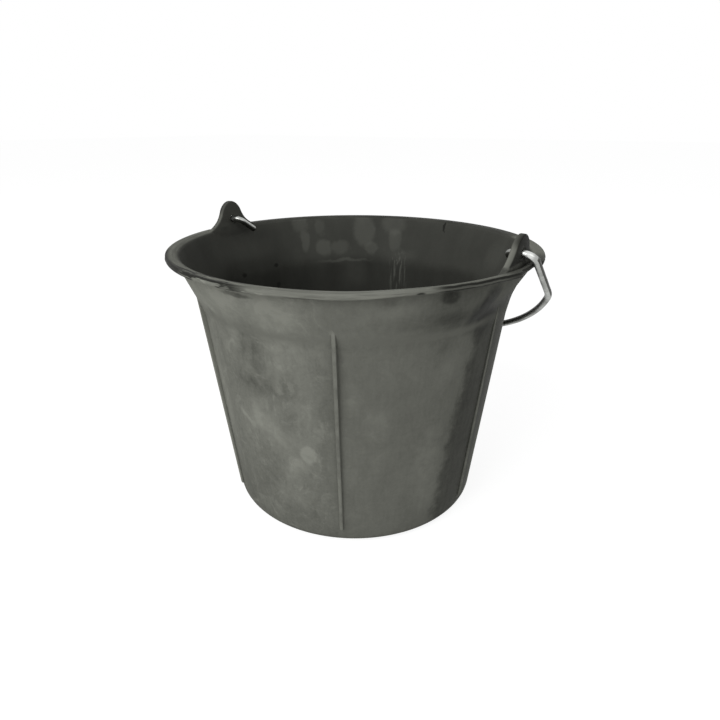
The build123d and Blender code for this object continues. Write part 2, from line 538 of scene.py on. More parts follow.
def pull_flare(bm, sizes):
    """Draws the flare in below the ears, most of all at its waist."""
    waist = sizes.shoulder_height + (sizes.bucket_height - sizes.shoulder_height) / 3
    for vert in bm.verts:
        beside = smooth_step(sizes.pull_width, sizes.pull_width / 2, abs(vert.co.y))
        over = smooth_step(sizes.shoulder_height, waist, vert.co.z)
        under = smooth_step(sizes.bucket_height, waist, vert.co.z)
        draw_in(vert, sizes.pull_depth * beside * (over * under) * (1 - overhang(vert, sizes)))


def tear_flash(bm, sizes, grain=90, torn_at=0.35):
    """Tears the moulding line round the rim, so that it stands out more in some places than in others."""
    for vert in bm.verts:
        if hypot(vert.co.x, vert.co.y) > sizes.rim_radius + sizes.flash_proud / 2:
            level = noise.fractal(vert.co * grain, 1.0, 2.0, 3)
            draw_in(vert, sizes.flash_proud * smooth_step(torn_at, -torn_at, level))


def mark_surface(bm, sizes):
    """Stores, for the material, which side each vertex is on and how worn its edge is."""
    inside = bm.verts.layers.float.new("inside")
    worn = bm.verts.layers.float.new("worn")
    band = bm.verts.layers.float.new("ear_band")
    rim = bm.verts.layers.float.new("rim")
    face = sizes.ear_thickness / 2
    for vert in bm.verts:
        radius = hypot(vert.co.x, vert.co.y)
        outer = max(sizes.wall_outside(vert.co.z), sizes.flare_outside(vert.co.z))
        middle = outer - sizes.wall / 2
        if vert.co.z > sizes.bucket_height + sizes.rim_rounding:
            radius = abs(vert.co.x - sizes.ear_shift)
            middle = sizes.ear_middle(vert.co.z)
            vert[band] = smooth_step(face, face - sizes.ear_rounding, abs(radius - middle))
        vert[inside] = float(radius < middle and vert.co.z > sizes.floor_thickness / 2)
        vert[rim] = round_rim(sizes, hypot(vert.co.x, vert.co.y), vert.co.z, vert[inside])
        vert[worn] = max((edge_sharpness(edge) for edge in vert.link_edges), default=0)
    for _ in range(2):
        spread_wear(bm, worn)


def spread_wear(bm, worn, kept=0.8):
    """Spreads the wear of the edges to the vertices beside them."""
    blurred = {vert: sum(edge.other_vert(vert)[worn] for edge in vert.link_edges) / len(vert.link_edges)
               for vert in bm.verts}
    for vert, level in blurred.items():
        vert[worn] = max(vert[worn] * kept, level)


def round_rim(sizes, radius, z, inside):
    """Place round the rim's section: -1 to 0 under it, 0 to 1 up its outer face, 1 to 2 in over its top.

    It runs on past 2 down the inside and below -1 down the flare. On the ears it is off_rim.
    """
    off_rim = 4
    top = sizes.bucket_height
    bottom = sizes.rim_underside
    inset = max(0, sizes.rim_radius - radius)
    if z > top + sizes.rim_rounding:
        return off_rim
    if inside and z < top - sizes.rim_depth / 2:
        return 2 + (top - z) / sizes.rim_depth
    if top - z < min(inset, z - bottom):
        return 1 + inset / (sizes.rim_radius - sizes.mouth_radius)
    if z > bottom and inset < sizes.rim_rounding:
        return (z - bottom) / sizes.rim_depth
    return -min(1, inset / sizes.rim_overhang) - max(0, bottom - z) / sizes.rim_depth


def edge_sharpness(edge, blunt=1 / 0.008, sharp=1 / 0.0025):
    """0 on a flat or hollow edge, up to 1 on an edge as sharp as the rim's roundings."""
    if len(edge.link_faces) != 2:
        return 0
    gap = (edge.link_faces[0].calc_center_median() - edge.link_faces[1].calc_center_median()).length
    return smooth_step(blunt, sharp, edge.calc_face_angle_signed(0) / max(gap, MERGE))


def bail_path(sizes, bail):
    """Half the wire's middle line: its start, its moves of (run, radius, bend) and the angle it hangs at."""
    splay = bail.leg_splay
    slope = bail.corner_turn
    ear = sizes.ear_middle(PIVOT.z)
    hook = ear - sizes.ear_thickness / 2 - bail.hook_inset
    leg_place = ear + bail.leg_bend * cos(splay) + bail.leg_run * sin(splay)
    leg_reach = bail.leg_bend * (1 - sin(splay)) + bail.leg_run * cos(splay)
    crown = (leg_place - bail.corner_bend * (cos(splay) - cos(slope))) / cos(slope)
    reach = leg_reach + bail.corner_bend * (sin(slope) + sin(splay)) + crown * (1 - sin(slope))
    taper = atan(sizes.wall_slope)
    to_wall = sizes.wall_outside(PIVOT.z) * cos(taper)
    hang = taper + acos((to_wall + bail.wire_radius + bail.wall_clearance) / reach)
    moves = [
        (bail.hook_length - bail.hook_bend, 0, 0),
        (0, bail.hook_bend, pi / 2),
        (ear - hook - bail.hook_bend, 0, 0),
        (0, bail.leg_bend, pi / 2 - splay),
        (bail.leg_run, 0, 0),
        (0, bail.corner_bend, splay + slope),
        (0, crown, pi / 2 - slope),
    ]
    return Vector((hook, bail.hook_length, 0)), moves, hang


def sweep_half(bm, bail, place, moves):
    """Carries a circle along the moves from a hook's end, and lists how far along the wire each move ends."""
    along = bm.verts.layers.float.new("along")
    outer = bm.verts.layers.float.new("outer")
    under = bm.verts.layers.float.new("under")
    bmesh.ops.create_circle(bm, cap_ends=False, segments=WIRE_SIDES, radius=bail.wire_radius)
    bmesh.ops.rotate(bm, verts=bm.verts[:], cent=(0, 0, 0), matrix=Matrix.Rotation(pi / 2, 3, "X"))
    for vert in bm.verts:
        vert[outer] = -vert.co.x / bail.wire_radius
        vert[under] = -vert.co.z / bail.wire_radius
    bmesh.ops.translate(bm, verts=bm.verts[:], vec=place)
    longest = 2 * bail.wire_radius
    heading = Vector((0, -1, 0))
    ring = bm.edges[:]
    travelled = 0
    ends = []
    for run, radius, bend in moves:
        steps = ceil(max(run / longest, bend / WIRE_STEP, bend * radius / longest))
        centre = place + radius * Vector((-heading.y, heading.x, 0))
        swing = Matrix.Rotation(bend / steps, 3, "Z")
        for _ in range(steps):
            grown = bmesh.ops.extrude_edge_only(bm, edges=ring)["geom"]
            fresh = only(bmesh.types.BMVert, grown)
            ring = only(bmesh.types.BMEdge, grown)
            bmesh.ops.translate(bm, verts=fresh, vec=heading * (run / steps))
            bmesh.ops.rotate(bm, verts=fresh, cent=centre, matrix=swing)
            place = centre + swing @ (place + heading * (run / steps) - centre)
            heading = swing @ heading
            travelled += run / steps + bend * radius / steps
            for vert in fresh:
                vert[along] = travelled
        ends.append(travelled)
    cut = [edge for edge in bm.edges if edge.is_boundary and all(vert[along] == 0 for vert in edge.verts)]
    cap = bmesh.ops.contextual_create(bm, geom=cut)["faces"]
    round_face(bm, cap[0], bail.end_rounding, segments=3)
    return ends


def mark_wire(bm, bail, ends, rub_place=0.0045, rub_reach=0.005, rub_full=0.0015):
    """Twists the hook, and stores for the material where dark reflections are painted along the wire and
    where it is rubbed, with a painted highlight there.

    The rubbed place, with its painted highlight, is just past the straight run through the ear. Afterwards
    along is measured from the middle of the crown.
    """
    dark_reflection_side = bm.verts.layers.float.new("dark_reflection_side")
    rubbed = bm.verts.layers.float.new("rubbed")
    along = bm.verts.layers.float["along"]
    outer = bm.verts.layers.float["outer"]
    under = bm.verts.layers.float["under"]
    hook_end, pivot_end, bend_end, leg_end, corner_end, crown_end = ends[1:]
    for vert in bm.verts:
        on_hook = smooth_step(pivot_end, hook_end, vert[along])
        on_leg = smooth_step((pivot_end + bend_end) / 2, bend_end, vert[along])
        on_crown = smooth_step(leg_end, corner_end, vert[along])
        vert.co = Matrix.Rotation(bail.hook_twist * on_hook, 3, "X") @ vert.co
        # Sides painted with dark reflections: the leg's outer side, the crown's inner side and the hook's
        # underside
        leg_side = smooth_step(0.66, 0.92, vert[outer]) * on_leg * (1 - on_crown)
        crown_side = smooth_step(0.4, 0.95, -vert[outer]) * on_crown
        hook_side = smooth_step(-0.1, 0.5, vert[under]) * on_hook
        vert[dark_reflection_side] = leg_side + crown_side + hook_side
        # Zinc rubbed bright just past the ear, with a painted highlight on it
        vert[rubbed] = smooth_step(rub_reach, rub_full, abs(vert[along] - pivot_end - rub_place))
        vert[along] = crown_end - vert[along]


def wire(sizes, bail):
    """The bail: half of it swept and marked, then mirrored and hung from the pivot."""
    start, moves, hang = bail_path(sizes, bail)
    bm = bmesh.new()
    ends = sweep_half(bm, bail, start, moves)
    mark_wire(bm, bail, ends)
    bmesh.ops.mirror(bm, geom=bm.verts[:] + bm.edges[:] + bm.faces[:], matrix=Matrix.Identity(4),
                     merge_dist=10 * MERGE, axis="X")
    tidy(bm)
    hanging = Matrix((
        (1, 0, 0, 0),
        (0, cos(hang), sin(hang), 0),
        (0, -sin(hang), cos(hang), PIVOT.z),
        (0, 0, 0, 1),
    ))
    bmesh.ops.transform(bm, verts=bm.verts[:], matrix=hanging)
    return thing("wire_bail", bm)


# Finishes


class NodeWork:
    """A node tree, with short calls for the nodes used here. Values may be sockets or numbers."""

    def __init__(self, owner, output):
        self.owner = owner
        owner.use_nodes = True
        self.tree = owner.node_tree
        self.tree.nodes.clear()
        self.output = self.add(output)

    def add(self, kind, **settings):
        node = self.tree.nodes.new(kind)
        for name, value in settings.items():
            setattr(node, name, value)
        return node

    def feed(self, socket, value):
        if isinstance(value, bpy.types.NodeSocket):
            self.tree.links.new(value, socket)
        else:
            socket.default_value = value

    def calc(self, operation, first, second=0.0, clamp=False):
        node = self.add("ShaderNodeMath", operation=operation, use_clamp=clamp)
        self.feed(node.inputs[0], first)
        self.feed(node.inputs[1], second)
        return node.outputs[0]

    def ramp(self, value, low, high, start=0.0, end=1.0):
        """A smooth change from start at low to end at high."""
        node = self.add("ShaderNodeMapRange", interpolation_type="SMOOTHSTEP")
        self.feed(node.inputs["Value"], value)
        for name, number in (("From Min", low), ("From Max", high), ("To Min", start), ("To Max", end)):
            self.feed(node.inputs[name], number)
        return node.outputs["Result"]

    def seen(self):
        """1 for what the camera sees, straight, in a reflection or through glass, and 0 for other light."""
        rays = self.add("ShaderNodeLightPath").outputs
        seen = self.calc("MAXIMUM", rays["Is Camera Ray"], rays["Is Glossy Ray"])
        return self.calc("MAXIMUM", seen, rays["Is Transmission Ray"])

    def shade(self, shader):
        self.tree.links.new(shader, self.output.inputs["Surface"])
        return self.owner


class Finish(NodeWork):
    """A material."""

    def __init__(self, name):
        super().__init__(bpy.data.materials.new(name), "ShaderNodeOutputMaterial")
        self.place = self.add("ShaderNodeTexCoord").outputs["Object"]

    def total(self, first, *others):
        for other in others:
            first = self.calc("ADD", first, other)
        return first

    def product(self, first, *others):
        for other in others:
            first = self.calc("MULTIPLY", first, other)
        return first

    def vector_calc(self, operation, first, second=(0, 0, 0)):
        node = self.add("ShaderNodeVectorMath", operation=operation)
        self.feed(node.inputs[0], first)
        self.feed(node.inputs[1], second)
        return node.outputs["Value" if operation == "LENGTH" else "Vector"]

    def stretched(self, factors):
        """The object's places, drawn out where a factor is small."""
        return self.vector_calc("MULTIPLY", self.place, factors)

    def noise_at(self, vector, scale, detail=4.0, roughness=0.5, distortion=0.0, depth=None):
        """Noise in three dimensions, or in four where a depth is given."""
        node = self.add("ShaderNodeTexNoise", noise_dimensions="4D" if depth else "3D")
        self.feed(node.inputs["Vector"], vector)
        if depth:
            self.feed(node.inputs["W"], depth)
        node.inputs["Scale"].default_value = scale
        node.inputs["Detail"].default_value = detail
        node.inputs["Roughness"].default_value = roughness
        node.inputs["Distortion"].default_value = distortion
        return node.outputs

    def grain(self, scale, detail=4.0, roughness=0.5, distortion=0.0, vector=None):
        return self.noise_at(vector or self.place, scale, detail, roughness, distortion)["Fac"]

    def uneven(self, amount, *settings, **more):
        """Grain that swings about zero, by up to about an amount."""
        return self.product(self.calc("SUBTRACT", self.grain(*settings, **more), 0.5), 2 * amount)

    def attribute(self, name):
        return self.add("ShaderNodeAttribute", attribute_name=name).outputs["Fac"]

    def mix(self, factor, first, second):
        """A colour between two others."""
        node = self.add("ShaderNodeMix", data_type="RGBA")
        self.feed(node.inputs["Factor"], factor)
        for socket, value in ((node.inputs["A"], first), (node.inputs["B"], second)):
            self.feed(socket, value if isinstance(value, bpy.types.NodeSocket) else (*value, 1))
        return node.outputs["Result"]

    def blend(self, factor, first, second):
        """A number between two others."""
        return self.total(self.product(self.calc("SUBTRACT", second, first), factor), first)

    def bump(self, height, distance, strength=1.0, normal=None):
        node = self.add("ShaderNodeBump")
        self.feed(node.inputs["Height"], height)
        node.inputs["Strength"].default_value = strength
        node.inputs["Distance"].default_value = distance
        if normal:
            self.feed(node.inputs["Normal"], normal)
        return node.outputs["Normal"]


class RubberFinish(Finish):
    """Aged rubber: black where it is clean, chalky where it has bloomed, pale where its edges are worn. Light
    and shade are painted in too: on the sides, the ribs, the rim's lip and the top of the inside.

    A mark is (azimuth in degrees, height, half width and half height in mm, softness, change of bloom).
    A stretch is (from, to, softness), in degrees of azimuth or in metres of height.
    A ring is (from, to, softness) round the rim's section, as round_rim gives it.
    A change is (from, to, value before, value after), and a fade is one without its values.
    A grain is (amount, scale, detail, roughness, distortion), and may end early.
    A drawn grain is (scale along the rim, scale across it, detail).
    """

    WALL_MARKS = (
        (-79, 219, 16, 10, 0.7, 0.2),
        (-96, 224, 18, 9, 0.7, 0.18),
        (-99, 189, 5, 11, 0.6, 0.2),
        (-93, 184, 12, 13, 0.8, -0.16),
        (-90, 171, 5, 10, 0.8, -0.14),
        (-79, 188, 14, 16, 0.8, 0.12),
        (-88, 150, 26, 9, 0.8, -0.2),
        (-83.8, 153, 4, 6, 0.6, 0.2),
        (-79, 125, 14, 15, 0.9, -0.12),
        (-95, 117, 11, 9, 0.9, 0.15),
        (-88.4, 110, 10, 9, 0.9, 0.15),
        (-82.8, 100, 10, 9, 0.9, 0.14),
        (-78, 80, 8, 8, 0.9, 0.2),
        (-80.5, 69, 8, 7, 0.9, 0.16),
        (-82, 45, 15, 11, 0.9, 0.12),
        (-116, 113, 8, 40, 0.8, 0.1),
        (-91, 22, 14, 8, 0.8, 0.1),
        (-118, 196, 5, 9, 0.7, -0.3),
        (-108, 204, 4, 4, 0.8, -0.16),
        (-57, 151, 6, 9, 0.8, 0.08),
        (-66, 190, 8, 8, 0.9, 0.09),
        (-27, 192, 10, 17, 0.8, -0.14),
        (-49, 126, 10, 12, 0.9, 0.1),
        (-28, 78, 12, 40, 0.8, 0.14),
        (-24, 165, 8, 16, 0.9, 0.09),
        (150, 120, 30, 40, 0.9, 0.1),
        (95, 90, 26, 30, 0.9, -0.1),
        (60, 60, 30, 22, 0.9, 0.1),
        (28, 140, 16, 34, 0.9, -0.12),
        (-150, 70, 18, 30, 0.9, 0.1),
    )
    FLARE_MARKS = (
        (-44, 223, 12, 5, 0.8, 0.1),
        (-48, 230, 6, 4, 0.7, -0.14),
        (-31.5, 231, 8, 5, 0.35, -0.26),
        (-30, 213, 16, 5, 0.8, -0.12),
        (-15, 222, 11, 11, 0.35, -0.3),
        (-18, 207, 11, 13, 0.5, -0.34),
        (-57, 221, 30, 12, 0.8, 0.13),
        (-89.5, 229.5, 13, 2, 0.4, -0.45),
        (-10, 200, 14, 14, 0.8, -0.14),
    )
    THUMB_MARK = (-73.6, 92, 6.2, 8.6, 0.28, 0.3)
    RIM_NICK = (-41.2, 237.6, 3, 1.2, 0.4, -0.6)
    INSIDE_MARKS = (
        (148, 236, 9, 11, 0.35, 0.1),
        (146.5, 215, 5, 11, 0.3, 0.12),
        (139.5, 229, 5, 8, 0.4, 0.08),
        (138.2, 208, 9, 9, 0.3, 0.13),
        (130.5, 207, 10, 7, 0.35, 0.1),
        (129, 193.4, 26, 1.6, 0.6, 0.12),
        (119.5, 226, 13, 17, 0.25, 0.12),
        (115.7, 207, 7, 7, 0.35, 0.1),
        (106.2, 232, 12, 12, 0.35, 0.1),
        (105, 216, 8, 11, 0.3, 0.1),
        (100, 201, 14, 5, 0.6, 0.05),
        (123, 178, 12, 13, 0.7, 0.05),
        (164, 195, 2.2, 2, 0.6, -0.12),
        (164, 173, 2.4, 3, 0.6, -0.12),
        (183, 192, 3, 2.5, 0.6, -0.12),
        (83, 235, 1.2, 4.5, 0.5, -0.3),
        (50, 219, 14, 14, 0.6, 0.07),
        (250, 200, 20, 18, 0.7, 0.07),
        (290, 190, 14, 12, 0.6, 0.06),
        (330, 212, 18, 12, 0.7, 0.06),
    )

    SCRATCHED_MARK = (102, 179, 10, 22, 0.5, 0.22)

    CLOUDS = (0.26, 13, 7.0, 0.6, 0.6)
    SMEARS = (0.26, 44, 6.0, 0.65)
    PATCHES = (0.34, 70, 7.0, 0.68, 1.1)
    SPECKLE = (0.18, 420, 3.0, 0.65)
    BRUSHING = (0.1, 300, 3.0, 0.6)
    STRIP_EDGE = (5.0, 75, 6.0, 0.6)
    INSIDE_CLOUDS = (0.05, 18, 5.0, 0.6)
    INSIDE_SMEARS = (0.05, 40, 4.0, 0.6)
    RIM_STREAKS = (9, 520, 4.0)
    RIM_FLAKES = (38, 420, 2.0)
    RIM_FLECKS = (70, 500, 2.0)

    # A strip of painted shade below the ear, on the side away from the key lamp
    SHADE_STRIP = (-18, 9, 3.0)
    # Painted light on the side towards the key lamp
    LIT_SIDE = (-150, -68, 8)
    # Painted shade on the flare of the side away from the key lamp
    SHADED_SIDE = (-36, 24, 7)
    WISPY_SIDE = (-150, -64, 5)
    FRONT = (-84, -38, 6)
    FLAKING_RIM = (-114, -84, 4)
    FLECKED_RIM = (-104, -76, 4)
    DULL_RIM = (-180, -98, 5)
    CRESCENT = (-136, -108, 5)
    RIM_DASH = (-98.5, -90.5, 1)
    RIM_SHADOW = (-72.5, -65.5, 1.5)
    LINED_RIM = (-37, 45, 3)
    CLEAN_RIM = (-14, 16, 4)
    FAR_RIM = (45, 172, 5)
    FAR_EAR = (150, 210, 5)
    PALE_SHOULDER = (0.197, 0.206, 0.004)
    DULL_FLARE = (0.212, 0.226, 0.004)

    WHOLE_RING = (-0.25, 2.0, 0.12)
    CRESCENT_RING = (-0.6, 1.2, 0.15)
    DASH_RING = (0.8, 1.2, 0.12)
    SHADOW_RING = (-0.4, 0.12, 0.08)
    RIDGE_RING = (0.2, 0.5, 0.08)

    CALMER_SIDE = (-72, -58, 1.0, 0.6)
    # Painted light on the shaded flank of the rib on the left
    LIT_RIB = (-122, -112, 0.3, 0.0)
    # Painted highlight along the rim's lip
    LIP_HIGHLIGHT = (0.8, 1.0, 0.0, 0.66)
    STRIP_TILT = (0.0, 0.2, 3.4, -3.2)
    # Painted light on that side, growing up the wall and again on the flare
    WALL_LIGHT = (0.02, 0.12, 0.02, 0.14)
    FLARE_LIGHT = (0.196, 0.214, 0.0, 0.18)
    # Painted shade on that side's flare
    FLARE_SHADE = (0.196, 0.212, 0.0, -0.2)
    # Painted sheen near the top of the inside
    INSIDE_SHEEN = (0.185, 0.2, 0.0, 0.065)
    STRIP_TOP = (0.222, 0.2)
    RIB_TOP = (0.205, 0.198)
    RIB_ROOT = (0.0004, 0.0014)
    EAR_ROOT = (0.001, 0.003)
    EAR_BAND_TOP = (0.004, 0.011)

    def __init__(self, look, sizes):
        super().__init__("aged_rubber")
        self.look = look
        self.sizes = sizes
        split = self.add("ShaderNodeSeparateXYZ")
        self.feed(split.inputs[0], self.place)
        x, y, self.height = split.outputs
        self.azimuth = self.product(self.calc("ARCTAN2", y, x), 180 / pi)
        self.radius = self.calc("SQRT", self.total(self.product(x, x), self.product(y, y)))
        self.whole_turn = self.total(self.azimuth, self.product(self.calc("LESS_THAN", self.azimuth), 360))
        self.wall_chart = self.chart(self.azimuth)
        self.inside_chart = self.chart(self.whole_turn)

    def chart(self, azimuth):
        """The surface laid flat, in degrees and mm."""
        join = self.add("ShaderNodeCombineXYZ")
        self.feed(join.inputs[0], azimuth)
        self.feed(join.inputs[1], self.product(self.height, 1 / MM))
        return join.outputs[0]

    def smeared(self, chart, scale, reach):
        """A chart with its places pushed about by noise, so that marks on it get uneven edges."""
        centred = self.vector_calc("SUBTRACT", self.noise_at(self.place, scale)["Color"], (0.5, 0.5, 0.5))
        push = self.vector_calc("MULTIPLY", centred, (reach, 2 * reach, 0))
        return self.vector_calc("ADD", chart, push)

    def mark(self, chart, azimuth, height, half_width, half_height, soft, change):
        """One mark on a chart: the full change in its middle, none outside."""
        radius = max(self.sizes.wall_outside(height * MM), self.sizes.flare_outside(height * MM)) / MM
        offset = self.vector_calc("SUBTRACT", chart, (azimuth, height, 0))
        shares = (radians(1) * radius / half_width, 1 / half_height, 0)
        away = self.vector_calc("LENGTH", self.vector_calc("MULTIPLY", offset, shares))
        return self.ramp(away, 1 - soft, 1 + soft, change, 0.0)

    def marks(self, chart, rows):
        return self.total(*[self.mark(chart, *row) for row in rows])

    def span(self, low, high, soft, value=None):
        """1 between two azimuths, or two values, with soft ends."""
        value = value or self.azimuth
        return self.product(self.ramp(value, low - soft, low + soft),
                            self.ramp(value, high - soft, high + soft, 1.0, 0.0))

    def mottle(self):
        """Bloom that is uneven all over, and less so towards the right of the front."""
        clouds = self.uneven(*self.CLOUDS)
        smears = self.uneven(*self.SMEARS, vector=self.stretched((1, 1, 0.35)))
        patches = self.uneven(*self.PATCHES)
        speckle = self.uneven(*self.SPECKLE)
        brushed = self.uneven(*self.BRUSHING, vector=self.stretched((1, 1, 0.1)))
        strength = self.ramp(self.azimuth, *self.CALMER_SIDE)
        mottle = self.product(self.total(clouds, smears, patches, speckle), strength)
        return self.product(self.total(mottle, brushed), self.look.cloudiness)

    def outside_marks(self):
        """Rubbed and stained places, broken up by grain, and a mark the size of a thumb."""
        ragged = self.smeared(self.smeared(self.wall_chart, 26, 6), 95, 3)
        broken = self.ramp(self.grain(95, 6.0, 0.62), 0.32, 0.68, 0.45, 1.35)
        rubbed = self.product(self.marks(ragged, self.WALL_MARKS), broken)
        blotches = self.marks(self.smeared(self.wall_chart, 70, 2.5), self.FLARE_MARKS)
        thumb = self.mark(self.smeared(self.wall_chart, 75, 3.0), *self.THUMB_MARK)
        return self.total(rubbed, blotches, thumb)

    def sides(self):
        """What sets the sides apart: painted light on the side towards the key lamp, whose bloom is also
        wispy, painted shade on the flare of the side away from it, and a strip of painted shade below the
        ear.
        """
        # A strip of painted shade below the ear, with a ragged edge that leans as it rises
        tilt = self.ramp(self.height, *self.STRIP_TILT)
        edge = self.total(self.azimuth, self.uneven(*self.STRIP_EDGE), tilt)
        below = self.ramp(self.height, *self.STRIP_TOP)
        shade_strip = self.product(self.span(*self.SHADE_STRIP, edge), below, -0.36)
        # Painted light: the side towards the key lamp made paler, more so up the wall and on the flare
        on_wall = self.ramp(self.height, *self.WALL_LIGHT)
        painted_light = self.total(on_wall, self.ramp(self.height, *self.FLARE_LIGHT))
        pale = self.product(self.span(*self.LIT_SIDE), painted_light)
        # Painted shade: the flare on the side away from the key lamp made darker
        dark = self.product(self.span(*self.SHADED_SIDE), self.ramp(self.height, *self.FLARE_SHADE))
        wisps = self.ramp(self.grain(34, 9.0, 0.72, 2.0), 0.5, 0.72, -0.04, 0.2)
        wispy = self.product(self.span(*self.WISPY_SIDE), wisps)
        shoulder = self.total(self.product(self.span(*self.PALE_SHOULDER, self.height), 0.09),
                              self.product(self.span(*self.DULL_FLARE, self.height), -0.03))
        return self.total(shade_strip, pale, dark, wispy, self.product(self.span(*self.FRONT), shoulder))

    def outside_bloom(self):
        """The wall and the flare, with the ribs' own colour on the ribs: worn bloom along with painted light
        on their flanks.
        """
        plain = self.total(self.look.outside, self.mottle(), self.outside_marks(), self.sides())
        wall_radius = self.total(self.product(self.height, self.sizes.wall_slope), self.sizes.base_radius)
        proud = self.calc("SUBTRACT", self.radius, wall_radius)
        on_rib = self.product(self.ramp(proud, *self.RIB_ROOT), self.ramp(self.height, *self.RIB_TOP))
        # The ribs keep their own colour, out of the painted shade: worn bloom and painted light on their
        # flanks, most on the left rib
        rib = self.total(self.look.rib_bloom_and_light, self.ramp(self.azimuth, *self.LIT_RIB))
        return self.blend(self.product(on_rib, 0.7), plain, rib)

    def inside_bloom(self):
        """Dark, with pale stains, a scratched place and a painted sheen on the inner flare."""
        ragged = self.smeared(self.smeared(self.inside_chart, 60, 4.5), 190, 1.6)
        stains = self.marks(ragged, self.INSIDE_MARKS)
        scratches = self.ramp(self.grain(420, 3.0, vector=self.stretched((1, 1, 0.025))), 0.46, 0.66)
        scratched = self.product(scratches, self.mark(self.inside_chart, *self.SCRATCHED_MARK))
        clouds = self.uneven(*self.INSIDE_CLOUDS)
        smears = self.uneven(*self.INSIDE_SMEARS, vector=self.stretched((1, 1, 0.2)))
        # Painted sheen: the inside made paler towards its top, on the flare
        sheen = self.ramp(self.total(self.height, self.uneven(0.01, 30, 3.0)), *self.INSIDE_SHEEN)
        return self.total(self.look.inside, stains, scratched, clouds, smears, sheen)

    def ring_grain(self, along, across, detail):
        """Grain drawn out along the rim, the same all the way round."""
        depth = self.product(self.radius, across)
        return self.noise_at(self.stretched((along, along, across)), 1.0, detail, 0.6, depth=depth)["Fac"]

    def front_rim(self, rim, streaks):
        """Pale, with flaking dashes, pale flecks and dark lines on one side, and dark at the back."""
        flaking = self.blend(self.span(*self.FLAKING_RIM), 0.15, 1.0)
        dashes = self.product(self.ramp(self.ring_grain(*self.RIM_FLAKES), 0.48, 0.55), flaking, -0.7)
        flecked = self.span(*self.FLECKED_RIM)
        flecks = self.product(self.ramp(self.ring_grain(*self.RIM_FLECKS), 0.56, 0.64), flecked, 0.45)
        crescent = self.product(self.span(*self.CRESCENT), self.span(*self.CRESCENT_RING, rim), -0.7)
        dash = self.product(self.span(*self.RIM_DASH), self.span(*self.DASH_RING, rim), -0.6)
        shadow = self.product(self.span(*self.RIM_SHADOW), self.span(*self.SHADOW_RING, rim), -0.6)
        pale = self.blend(self.span(*self.DULL_RIM), 0.74, 0.58)
        near = self.total(pale, self.product(streaks, 0.9), self.uneven(0.12, 45, 4.0),
                          dashes, flecks, crescent, dash, shadow)
        far = self.total(0.13, self.product(streaks, 0.3), self.uneven(0.12, 60, 3.0))
        return self.blend(self.span(*self.FAR_RIM, self.whole_turn), near, far)

    def lined_rim(self, rim, streaks):
        """Dark by an ear, with a painted highlight along the lip and a pale line along the ridge of the outer
        face.
        """
        wavy = self.total(rim, self.uneven(0.16, 90, 3.0))
        # Painted highlight along the lip
        lip = self.ramp(wavy, *self.LIP_HIGHLIGHT)
        ridge = self.product(self.span(*self.RIDGE_RING, wavy), 0.38)
        lined = self.total(lip, ridge, self.product(streaks, 0.3))
        return self.blend(self.span(*self.CLEAN_RIM), lined, self.product(lined, 0.35))

    def rim_bloom(self, rim):
        streaks = self.calc("SUBTRACT", self.ring_grain(*self.RIM_STREAKS), 0.5)
        lined = self.lined_rim(rim, streaks)
        bloom = self.blend(self.span(*self.LINED_RIM), self.front_rim(rim, streaks), lined)
        return self.total(bloom, self.mark(self.wall_chart, *self.RIM_NICK))

    def ear_bloom(self, inside):
        """The ears are clean and dark, but for the lower part of their edges."""
        low, high = (PIVOT.z + rise for rise in self.EAR_BAND_TOP)
        lower = self.ramp(self.height, low, high, 0.5, 0.08)
        near = self.blend(self.span(*self.FAR_EAR, self.whole_turn), 1.0, 0.5)
        band = self.product(self.attribute("ear_band"), lower, near)
        return self.total(band, self.product(inside, 0.25), self.uneven(0.07, 70, 4.0))

    def build(self):
        inside = self.attribute("inside")
        rim = self.attribute("rim")
        low, high = (self.sizes.bucket_height + rise for rise in self.EAR_ROOT)
        on_ear = self.ramp(self.height, low, high)
        off_ear = self.calc("SUBTRACT", 1.0, on_ear)
        on_rim = self.product(self.span(*self.WHOLE_RING, rim), off_ear)
        off_rim = self.calc("SUBTRACT", 1.0, on_rim)
        bloom = self.blend(inside, self.outside_bloom(), self.inside_bloom())
        bloom = self.blend(on_ear, bloom, self.ear_bloom(inside))
        bloom = self.blend(on_rim, bloom, self.rim_bloom(rim))
        chafed = self.ramp(self.grain(60, 5.0, 0.65), 0.3, 0.62)
        scuffs = self.product(self.attribute("worn"), chafed, off_ear, off_rim, self.look.edge_wear)
        bloom = self.calc("ADD", bloom, scuffs, clamp=True)

        bsdf = self.add("ShaderNodeBsdfPrincipled")
        self.feed(bsdf.inputs["Base Color"], self.mix(bloom, self.look.clean, self.look.bloom))
        rough = self.total(self.ramp(bloom, 0.0, 0.6, 0.46, 0.78), self.uneven(0.06, 120, 4.0))
        self.feed(bsdf.inputs["Roughness"], rough)
        bsdf.inputs["Specular IOR Level"].default_value = 0.02
        skin = self.bump(self.grain(900, 3.0, 0.6), 0.00012, 0.5)
        skin = self.bump(self.grain(140, 3.0), 0.0004, 0.35, skin)
        self.feed(bsdf.inputs["Normal"], skin)
        return self.shade(bsdf.outputs[0])


